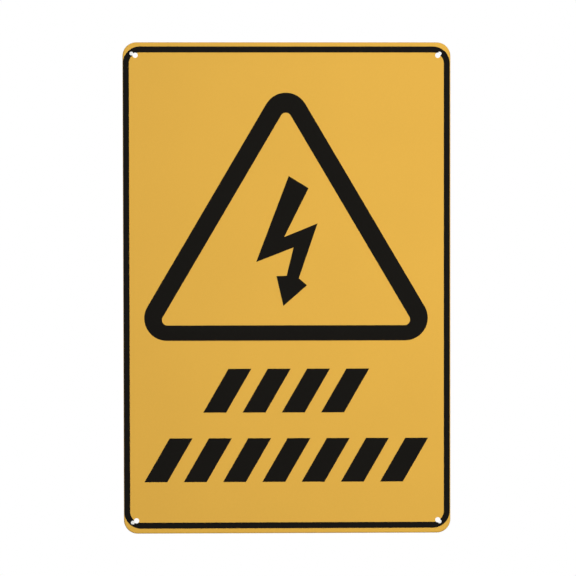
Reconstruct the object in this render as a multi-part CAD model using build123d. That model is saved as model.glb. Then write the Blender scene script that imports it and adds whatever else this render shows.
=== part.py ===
from build123d import *
from math import radians, tan
import os

# A high voltage warning sign: a steel sheet whose rim is folded back into an open hem,
# with a yellow coat, black print and a small white spot beside each of its fixing holes.
# The sign hangs upright. The origin is the middle of the sign on the plane of the wall
# behind it, the front faces -Y, +X is to the right seen from the front, and +Z is up.
# All sizes are in millimetres, and all angles in degrees.

# The folded sheet
sign_width = 200.0
sign_height = 300.0
corner_radius = 8.4          # of the sign's outline, seen from the front
sheet_thickness = 0.4
hem_depth = 2.0              # from the front face to the back of the hem
lip_width = 3.0              # flat part of the hem along the straight edges
corner_lip_width = 1.0       # what is left of that flat part round the corners
relief_angle = 45.0          # slope of the lip's ends beside a corner

# The fixing holes
hole_diameter = 3.2
hole_inset_x = 7.8           # from the hole's centre to the sign's side
hole_inset_z = 8.0           # from the hole's centre to the sign's top or bottom

# The print, which stands a little to the left on the sheet
ink_thickness = 0.05
art_shift_x = -0.55

# The border line
border_side_margin = 0.4     # so small that the line runs on over the side bends
border_end_margin = 2.9      # at the top and bottom
border_shift_x = -0.1
border_shift_z = 0.25
border_stroke = 3.65
border_corner_radius = 10.3

# Two rows of slanted bars, like pieces of a hazard stripe
bar_width = 14.0
bar_height = 26.8
bar_slant = 30.0             # from the upright
row_side_margin = 13.2       # from the lower row to the sign's sides
row_bottom_margin = 31.6     # from the lower row to the sign's bottom
row_gap = 15.7
upper_row_bars = 4
lower_row_bars = 7

# The warning triangle, as large as fits above the rows and between the sign's sides
triangle_side_angle = 59.5   # between a side and the base
triangle_base_stroke = 9.35
triangle_side_stroke = 11.3
triangle_outer_radius = 13.8
triangle_inner_radius = 3.4
triangle_bottom_gap = 17.15  # from the base to the upper row
triangle_top_margin = 17.35  # from the top, if it were sharp, to the sign's top
triangle_side_margin = 3.05  # from a base corner, if it were sharp, to the sign's side

# The flash, from the tip of its arrow anticlockwise, and its place in the triangle
flash_outline = [
    (0, 0),
    (14.5, 12.7),
    (9.5, 17.0),
    (21.0, 50.5),
    (0.6, 42.2),
    (15.5, 72.0),
    (3.4, 79.5),
    (-16.6, 26.9),
    (6.3, 35.8),
    (2.0, 18.5),
    (-4.2, 18.3),
]
flash_tip_x = -1.7           # from the middle of the artwork
flash_bottom_gap = 11.8      # from the tip to the base of the triangle's opening
flash_top_gap = 41.8         # to the top of that opening, if it were sharp

# The white spots, each a little further out than its hole
spot_diameter = 2.3
spot_offset_x = 1.7
spot_offset_z = 1.05

# Sizes and places that follow from those above
bend_radius = hem_depth / 2
front_y = -hem_depth
film_y = front_y - ink_thickness
bar_lean = bar_height * tan(radians(bar_slant))
lower_row_width = sign_width - 2 * row_side_margin
bar_pitch = (lower_row_width - bar_width - bar_lean) / (lower_row_bars - 1)
lower_row_z = -sign_height / 2 + row_bottom_margin + bar_height / 2
upper_row_z = lower_row_z + bar_height + row_gap
triangle_base_z = upper_row_z + bar_height / 2 + triangle_bottom_gap
triangle_slope = tan(radians(triangle_side_angle))


def on_plane(y):
    """A drawing plane at this depth, with its normal towards the viewer."""
    return Plane(origin=(0, y, 0), x_dir=(1, 0, 0), z_dir=(0, -1, 0))


def slab(outline, y_back, y_front):
    """An outline drawn from the front, made solid between two depths."""
    return extrude(on_plane(y_back) * outline, amount=y_back - y_front)


def inset_outline(inset):
    """The sign's outline, moved inwards by the same distance all round."""
    return RectangleRounded(
        sign_width - 2 * inset, sign_height - 2 * inset, corner_radius - inset
    )


def corner_discs(diameter, inset_x, inset_z):
    """A disc at each corner, with its centre set in from the sign's edges."""
    places = GridLocations(sign_width - 2 * inset_x, sign_height - 2 * inset_z, 2, 2)
    return Sketch() + places * Circle(diameter / 2)


def bent_rim(inner_radius, outer_radius):
    """A half-round strip swept round the sign, from the front face over to the back."""
    axis_path = on_plane(-bend_radius) * inset_outline(bend_radius).wire()
    section_plane = Plane(
        origin=(sign_width / 2 - bend_radius, -bend_radius, 0),
        x_dir=(1, 0, 0),
        z_dir=(0, 0, 1),
    )
    outer_half = Pos(outer_radius / 2, 0) * Rectangle(outer_radius, 2 * outer_radius)
    section = (Circle(outer_radius) - Circle(inner_radius)) & outer_half
    return sweep(section_plane * section, path=axis_path)


def return_lip():
    """The flat part of the hem, cut back at the corners so that the sheet can fold."""
    narrow = inset_outline(bend_radius) - inset_outline(bend_radius + corner_lip_width)
    strip = lip_width - corner_lip_width
    middle = bend_radius + corner_lip_width + strip / 2
    top = Pos(0, sign_height / 2 - middle) * Trapezoid(
        sign_width - 2 * corner_radius, strip, relief_angle, rotation=180
    )
    right = Pos(sign_width / 2 - middle, 0) * Trapezoid(
        sign_height - 2 * corner_radius, strip, relief_angle, rotation=90
    )
    half_turn = Rot(0, 0, 180)
    outline = narrow + top + half_turn * top + right + half_turn * right
    return slab(outline, 0, -sheet_thickness)


def hole_bars(reach):
    """Bars that cut the fixing holes through the front, and reach out before it."""
    discs = corner_discs(hole_diameter, hole_inset_x, hole_inset_z)
    return slab(discs, front_y + sheet_thickness, front_y - reach)


def folded_panel():
    """The sheet: its front, rolled edge and lip are one folded piece."""
    front = slab(inset_outline(bend_radius), front_y + sheet_thickness, front_y)
    rim = bent_rim(bend_radius - sheet_thickness, bend_radius)
    return front + rim + return_lip() - hole_bars(0)


def border_line():
    """An even band that follows the sign's own outline."""
    width = sign_width - 2 * border_side_margin
    height = sign_height - 2 * border_end_margin
    band = RectangleRounded(width, height, border_corner_radius) - RectangleRounded(
        width - 2 * border_stroke,
        height - 2 * border_stroke,
        border_corner_radius - border_stroke,
    )
    return Pos(border_shift_x, border_shift_z) * band


def bar_row(count, middle_z):
    """A row of slanted bars, centred on the artwork."""
    bar = Polygon(
        (-(bar_width + bar_lean) / 2, -bar_height / 2),
        ((bar_width - bar_lean) / 2, -bar_height / 2),
        ((bar_width + bar_lean) / 2, bar_height / 2),
        (-(bar_width - bar_lean) / 2, bar_height / 2),
        align=None,
    )
    first_x = -(count - 1) * bar_pitch / 2
    return [Pos(first_x + i * bar_pitch, middle_z) * bar for i in range(count)]


def rounded_triangle(base_z, height, radius):
    """A triangle of the sign's slope, with its base at this height and round corners."""
    half_width = height / triangle_slope
    sharp = Polygon(
        (-half_width, base_z), (half_width, base_z), (0, base_z + height), align=None
    )
    return fillet(sharp.vertices(), radius)


def triangle_heights():
    """The sharp heights of the triangle and of its opening."""
    room_above = sign_height / 2 - triangle_top_margin - triangle_base_z
    room_between = (sign_width / 2 - triangle_side_margin) * triangle_slope
    outer = min(room_above, room_between)
    top_stroke = triangle_side_stroke * (1 + triangle_slope**2) ** 0.5
    return outer, outer - triangle_base_stroke - top_stroke


def warning_triangle():
    """The triangle's ring and the flash in its opening."""
    outer_height, inner_height = triangle_heights()
    opening_z = triangle_base_z + triangle_base_stroke
    ring = rounded_triangle(triangle_base_z, outer_height, triangle_outer_radius)
    ring -= rounded_triangle(opening_z, inner_height, triangle_inner_radius)
    drawn_height = max(z for x, z in flash_outline)
    size = (inner_height - flash_bottom_gap - flash_top_gap) / drawn_height
    points = [(x * size, z * size) for x, z in flash_outline]
    flash = Polygon(*points, align=None)
    return [ring, Pos(flash_tip_x, opening_z + flash_bottom_gap) * flash]


def spots():
    """The outlines of the white spots."""
    discs = corner_discs(
        spot_diameter, hole_inset_x - spot_offset_x, hole_inset_z - spot_offset_z
    )
    return Pos(art_shift_x, 0) * discs


def printed_black():
    """All that is printed black, as a film on the front that follows the side bends."""
    film = slab(inset_outline(bend_radius), front_y, film_y)
    film += bent_rim(bend_radius, bend_radius + ink_thickness)
    figures = warning_triangle()
    figures += bar_row(upper_row_bars, upper_row_z)
    figures += bar_row(lower_row_bars, lower_row_z)
    artwork = border_line() + Pos(art_shift_x, 0) * (Sketch() + figures)
    ink = film & slab(artwork, -bend_radius, film_y)
    return ink - slab(spots(), front_y, film_y) - hole_bars(ink_thickness)


def printed_spots():
    """What the punch has left of the white spots."""
    return slab(spots(), front_y, film_y) - hole_bars(ink_thickness)


def save(name, shape):
    """Writes one piece with all its solids."""
    piece = Compound(children=list(shape.solids()))
    piece.label = name
    export_step(piece, f"parts/{name}.step")


os.makedirs("parts", exist_ok=True)
save("folded_panel", folded_panel())
save("printed_black", printed_black())
save("printed_spots", printed_spots())
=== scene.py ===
from math import cos, radians, sin

import bpy
from mathutils import Matrix, Vector


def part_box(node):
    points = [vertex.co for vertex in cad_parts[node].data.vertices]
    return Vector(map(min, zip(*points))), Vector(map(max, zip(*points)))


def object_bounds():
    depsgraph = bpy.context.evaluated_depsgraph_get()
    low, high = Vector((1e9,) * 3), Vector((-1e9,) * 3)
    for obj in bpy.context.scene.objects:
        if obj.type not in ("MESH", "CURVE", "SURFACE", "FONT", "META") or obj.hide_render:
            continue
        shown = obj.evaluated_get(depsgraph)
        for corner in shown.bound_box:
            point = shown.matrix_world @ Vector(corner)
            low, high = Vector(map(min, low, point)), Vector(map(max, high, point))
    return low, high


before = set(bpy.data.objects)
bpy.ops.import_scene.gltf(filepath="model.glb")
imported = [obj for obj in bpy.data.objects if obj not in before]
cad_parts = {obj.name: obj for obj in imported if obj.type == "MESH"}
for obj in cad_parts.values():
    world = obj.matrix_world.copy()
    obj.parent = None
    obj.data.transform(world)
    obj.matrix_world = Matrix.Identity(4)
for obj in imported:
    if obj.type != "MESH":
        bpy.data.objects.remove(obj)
cad_low, cad_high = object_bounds()

# Lengths are in metres, as the frame has them, and angles in degrees.
MM = 0.001

# The photographer's camera, turned round a point near the middle of the sign's front
LENS_MM = 100.0
CAMERA_AIM = Vector((0.6 * MM, -2.0 * MM, 0.2 * MM))
CAMERA_DISTANCE = 0.977
CAMERA_AZIMUTH = -0.75
CAMERA_ELEVATION = 0.94
CAMERA_ROLL = -0.09

# The studio's light. Its two steps run from the camera's side of the sign to the side
# behind it, where Y goes from -1 to 1.
AMBIENT_FROM_BELOW = 0.15
AMBIENT_FROM_ABOVE = 0.60
AMBIENT_BEHIND = 0.4         # as a share of those two
BEHIND_STEP = (0.0, 0.6)
STUDIO_SIDE_GREY = 0.27      # what shiny faces see on the camera's side
WHITE_SIDE_STEP = (0.3, 0.9)

# The lamps. With the ambient light, a colour renders about as it is written.
KEY_PLACE = Vector((0.217, -0.73, 0.116))
KEY_SIZE = 0.5
KEY_WATTS = 4.55
SIDE_PLACE = Vector((1.0, -0.9, 0.9))
SIDE_SIZE = 0.6
SIDE_WATTS = 1.2
BACK_PLACE = Vector((-0.5, 1.7, 0.5))
BACK_SIZE = 0.9
BACK_WATTS = 24.0

# The floor, well below the sign
FLOOR_DROP = 0.6
FLOOR_HALF = 6.0
FLOOR_FADE = (0.5, 1.6)      # where it starts to turn white, and where it is white
FLOOR_ROUGHNESS = 0.8

# Colours, in linear light, and the strength of their gloss
YELLOW = (0.74, 0.418, 0.0605, 1.0)
TIN = (0.60, 0.60, 0.59, 1.0)
INK = (0.0065, 0.0055, 0.0040, 1.0)
WHITE = (0.84, 0.84, 0.82, 1.0)
FLOOR_GREY = (0.9, 0.9, 0.9, 1.0)
COAT_GLOSS = 0.3
INK_GLOSS = 0.18

NOISE_RANGE = (0.3, 0.7)     # where most values of a noise texture lie

# The sockets of a Mix node for each kind of value: first input, second input and output
MIX_SOCKETS = {"FLOAT": (2, 3, 0), "VECTOR": (4, 5, 1), "RGBA": (6, 7, 2)}


class Graph:
    """The nodes of a material or world, with short calls for what this scene needs."""

    def __init__(self, owner):
        owner.use_nodes = True
        self.owner = owner
        self.tree = owner.node_tree

    def add(self, kind, **settings):
        """A new node."""
        node = self.tree.nodes.new(kind)
        for name, value in settings.items():
            setattr(node, name, value)
        return node

    def feed(self, socket, value):
        """Sets a socket, from another node's output or from a plain value."""
        if isinstance(value, bpy.types.NodeSocket):
            self.tree.links.new(value, socket)
        else:
            socket.default_value = value

    def feed_all(self, sockets, values):
        """Sets several sockets in turn."""
        for socket, value in zip(sockets, values):
            self.feed(socket, value)

    def calc(self, operation, *values):
        """The result of a calculation with values or other nodes' outputs."""
        node = self.add("ShaderNodeMath", operation=operation)
        self.feed_all(node.inputs, values)
        return node.outputs[0]

    def coordinate(self, kind):
        """One of the texture coordinates."""
        return self.add("ShaderNodeTexCoord").outputs[kind]

    def split(self, vector):
        """A vector's parts, by the names X, Y and Z."""
        node = self.add("ShaderNodeSeparateXYZ")
        self.feed(node.inputs[0], vector)
        return node.outputs

    def ramp(self, value, from_range, to_range, curve="LINEAR"):
        """A value carried over from one range to another, and held at its ends."""
        node = self.add("ShaderNodeMapRange", interpolation_type=curve)
        names = ("Value", "From Min", "From Max", "To Min", "To Max")
        self.feed_all([node.inputs[name] for name in names], (value, *from_range, *to_range))
        return node.outputs["Result"]

    def mix(self, share, a, b, kind="FLOAT"):
        """One value, vector or colour blended into another by a share."""
        node = self.add("ShaderNodeMix", data_type=kind)
        first, second, result = MIX_SOCKETS[kind]
        self.feed_all((node.inputs[0], node.inputs[first], node.inputs[second]), (share, a, b))
        return node.outputs[result]

    def noise(self, size, detail=2.0, stretch=(1, 1, 1)):
        """Noise whose features are about this long, or longer along a stretched axis."""
        mapping = self.add("ShaderNodeMapping")
        self.feed(mapping.inputs["Vector"], self.coordinate("Object"))
        mapping.inputs["Scale"].default_value = [1 / (size * s) for s in stretch]
        node = self.add("ShaderNodeTexNoise")
        self.feed(node.inputs["Vector"], mapping.outputs[0])
        node.inputs["Scale"].default_value = 1.0
        node.inputs["Detail"].default_value = detail
        return node.outputs["Fac"]

    def spread(self, noise, low, high):
        """Noise spread over a range."""
        return self.ramp(noise, NOISE_RANGE, (low, high))

    def shade(self, colour, value):
        """A colour made lighter or darker by a factor near 1."""
        node = self.add("ShaderNodeHueSaturation")
        self.feed(node.inputs["Color"], colour)
        self.feed(node.inputs["Value"], value)
        return node.outputs[0]

    def bump(self, height, depth, under=None):
        """The normal of a relief whose full height is this depth."""
        node = self.add("ShaderNodeBump")
        node.inputs["Strength"].default_value = 1.0
        node.inputs["Distance"].default_value = depth
        self.feed(node.inputs["Height"], height)
        if under is not None:
            self.feed(node.inputs["Normal"], under)
        return node.outputs[0]

    def finish(self, colour, roughness, normal, gloss):
        """Sets what every finish here has, and returns the shader's inputs."""
        shader = self.tree.nodes["Principled BSDF"].inputs
        self.feed(shader["Base Color"], colour)
        self.feed(shader["Roughness"], roughness)
        self.feed(shader["Normal"], normal)
        shader["Specular IOR Level"].default_value = gloss
        return shader


def coat_mask(graph, hem_middle_y):
    """1 on the printed side of the sheet, which the fold turns round to the back of the lip.

    The printed side faces away from the middle of the hem's depth. Cut edges face neither
    way, and lie off that middle.
    """
    slack = 0.02 * MM        # for the outermost line of the bend, which faces sideways
    edge_on_below = 0.2
    cut_edge_from = 0.65     # as a share of half the hem's depth
    turned = graph.split(graph.add("ShaderNodeNewGeometry").outputs["True Normal"])["Y"]
    depth = graph.split(graph.coordinate("Object"))["Y"]
    off_middle = graph.calc("SUBTRACT", depth, hem_middle_y)
    outward = graph.calc("GREATER_THAN", graph.calc("MULTIPLY", turned, off_middle), -slack)
    edge_on = graph.calc("LESS_THAN", graph.calc("ABSOLUTE", turned), edge_on_below)
    far_off = graph.calc(
        "GREATER_THAN", graph.calc("ABSOLUTE", off_middle), -hem_middle_y * cut_edge_from
    )
    cut_edge = graph.calc("MULTIPLY", edge_on, far_off)
    return graph.calc("MULTIPLY", outward, graph.calc("SUBTRACT", 1.0, cut_edge))


def panel_material():
    """Yellow satin coat on the printed side of the sheet, and bare tinplate on the other."""
    graph = Graph(bpy.data.materials.new("yellow_coat_on_tinplate"))
    low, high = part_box("folded_panel")
    coated = coat_mask(graph, (low[1] + high[1]) / 2)

    mottle = graph.spread(graph.noise(size=60 * MM), -0.012, 0.012)
    grain = graph.spread(graph.noise(size=0.9 * MM, detail=3.0), 0.988, 1.012)
    yellow = graph.shade(YELLOW, graph.calc("ADD", grain, mottle))

    rolled = graph.noise(size=0.5 * MM, detail=3.0, stretch=(1, 1, 60))
    clouds = graph.noise(size=35 * MM, detail=4.0)
    tin_level = graph.calc(
        "ADD", graph.spread(rolled, 0.94, 1.05), graph.spread(clouds, -0.05, 0.05)
    )
    tin = graph.shade(TIN, tin_level)

    coat_rough = graph.spread(graph.noise(size=6 * MM, detail=4.0), 0.40, 0.50)
    tin_rough = graph.spread(graph.mix(0.5, rolled, clouds), 0.28, 0.42)

    waves = graph.bump(graph.noise(size=90 * MM, detail=1.0), depth=0.25 * MM)
    peel = graph.bump(graph.noise(size=1.4 * MM, detail=2.0), depth=0.006 * MM, under=waves)
    lines = graph.bump(rolled, depth=0.003 * MM, under=waves)

    shader = graph.finish(
        colour=graph.mix(coated, tin, yellow, kind="RGBA"),
        roughness=graph.mix(coated, tin_rough, coat_rough),
        normal=graph.mix(coated, lines, peel, kind="VECTOR"),
        gloss=COAT_GLOSS,
    )
    graph.feed(shader["Metallic"], graph.calc("SUBTRACT", 1.0, coated))
    return graph.owner


def ink_material():
    """Screen-printed black, a little duller than the coat, with the print's fine grain."""
    graph = Graph(bpy.data.materials.new("black_screen_ink"))
    grain = graph.noise(size=0.7 * MM, detail=3.0)
    clouds = graph.noise(size=40 * MM, detail=2.0)
    level = graph.calc("ADD", graph.spread(grain, 0.9, 1.1), graph.spread(clouds, -0.06, 0.06))
    graph.finish(
        colour=graph.shade(INK, level),
        roughness=graph.spread(graph.noise(size=3 * MM, detail=4.0), 0.46, 0.58),
        normal=graph.bump(grain, depth=0.004 * MM),
        gloss=INK_GLOSS,
    )
    return graph.owner


def spot_material():
    """The white base coat, where no colour is printed on it."""
    graph = Graph(bpy.data.materials.new("white_base_coat"))
    grain = graph.noise(size=0.9 * MM, detail=3.0)
    graph.finish(
        colour=graph.shade(WHITE, graph.spread(grain, 0.985, 1.01)),
        roughness=graph.spread(graph.noise(size=3 * MM, detail=3.0), 0.40, 0.50),
        normal=graph.bump(grain, depth=0.004 * MM),
        gloss=COAT_GLOSS,
    )
    return graph.owner


def dress(node, material):
    """Gives a CAD node its finish."""
    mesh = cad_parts[node].data
    mesh.materials.clear()
    mesh.materials.append(material)


def add_world():
    """A white studio, whose light is weaker from below and from behind the sign.

    Shiny faces see its camera side darker, so that the front keeps its colours.
    """
    graph = Graph(bpy.data.worlds.new("studio"))
    bpy.context.scene.world = graph.owner
    direction = graph.split(graph.coordinate("Generated"))
    ray = graph.add("ShaderNodeLightPath").outputs
    ambient = graph.ramp(direction["Z"], (-1.0, 1.0), (AMBIENT_FROM_BELOW, AMBIENT_FROM_ABOVE))
    behind = graph.ramp(direction["Y"], BEHIND_STEP, (1.0, AMBIENT_BEHIND))
    mirrored = graph.ramp(direction["Y"], WHITE_SIDE_STEP, (STUDIO_SIDE_GREY, 1.0))
    level = graph.calc("MULTIPLY", ambient, behind)
    level = graph.mix(ray["Is Glossy Ray"], level, mirrored)
    level = graph.mix(ray["Is Transmission Ray"], level, 1.0)
    level = graph.mix(ray["Is Camera Ray"], level, 1.0)
    background = graph.tree.nodes["Background"].inputs
    graph.feed(background["Strength"], level)
    background["Color"].default_value = (1, 1, 1, 1)


def add_lamp(name, place, size, watts, shines=True):
    """A square soft lamp that looks at the middle of the sign, and may leave no shine on it."""
    lamp = bpy.data.lights.new(name, "AREA")
    lamp.size = size
    lamp.energy = watts
    lamp.cycles.use_multiple_importance_sampling = shines
    holder = bpy.data.objects.new(name, lamp)
    holder.location = place
    holder.rotation_euler = (-place).to_track_quat("-Z", "Y").to_euler()
    holder.visible_camera = False
    holder.visible_glossy = shines
    bpy.context.scene.collection.objects.link(holder)


def floor_material():
    """Plain and pale near the sign, and further out as white as the background."""
    graph = Graph(bpy.data.materials.new("pale_floor"))
    pale = graph.tree.nodes["Principled BSDF"]
    pale.inputs["Base Color"].default_value = FLOOR_GREY
    pale.inputs["Roughness"].default_value = FLOOR_ROUGHNESS
    white = graph.add("ShaderNodeEmission")
    reach = graph.add("ShaderNodeVectorMath", operation="LENGTH")
    graph.feed(reach.inputs[0], graph.coordinate("Object"))
    fade = graph.ramp(reach.outputs["Value"], FLOOR_FADE, (0.0, 1.0), curve="SMOOTHSTEP")
    ray = graph.add("ShaderNodeLightPath").outputs
    seen = graph.calc("MAXIMUM", ray["Is Camera Ray"], ray["Is Transmission Ray"])
    surface = graph.add("ShaderNodeMixShader")
    share = graph.calc("MULTIPLY", seen, fade)
    graph.feed_all(surface.inputs, (share, pale.outputs[0], white.outputs[0]))
    graph.feed(graph.tree.nodes["Material Output"].inputs["Surface"], surface.outputs[0])
    return graph.owner


def add_floor():
    """A plain pale floor that adds no light or shine to the sign."""
    half = FLOOR_HALF
    corners = [(-half, -half, 0), (half, -half, 0), (half, half, 0), (-half, half, 0)]
    mesh = bpy.data.meshes.new("floor")
    mesh.from_pydata(corners, [], [(0, 1, 2, 3)])
    mesh.materials.append(floor_material())
    floor = bpy.data.objects.new("floor", mesh)
    floor.location.z = cad_low.z - FLOOR_DROP
    floor.visible_diffuse = False
    floor.visible_glossy = False
    bpy.context.scene.collection.objects.link(floor)


def add_camera():
    """A camera where the photographer's was, from the sign's corners in the photograph."""
    camera = bpy.data.cameras.new("camera")
    camera.lens = LENS_MM
    holder = bpy.data.objects.new("camera", camera)
    azimuth, elevation = radians(CAMERA_AZIMUTH), radians(CAMERA_ELEVATION)
    back = Vector(
        (sin(azimuth) * cos(elevation), -cos(azimuth) * cos(elevation), sin(elevation))
    )
    turn = (-back).to_track_quat("-Z", "Y").to_matrix().to_4x4()
    roll = Matrix.Rotation(radians(CAMERA_ROLL), 4, "Z")
    holder.matrix_world = Matrix.Translation(CAMERA_AIM + back * CAMERA_DISTANCE) @ turn @ roll
    bpy.context.scene.collection.objects.link(holder)
    bpy.context.scene.camera = holder


dress("folded_panel", panel_material())
dress("printed_black", ink_material())
dress("printed_spots", spot_material())
add_world()
add_lamp("key", KEY_PLACE, KEY_SIZE, KEY_WATTS, shines=False)
add_lamp("side", SIDE_PLACE, SIDE_SIZE, SIDE_WATTS)
add_lamp("back", BACK_PLACE, BACK_SIZE, BACK_WATTS, shines=False)
add_floor()
add_camera()
bpy.context.scene.view_settings.view_transform = "Standard"
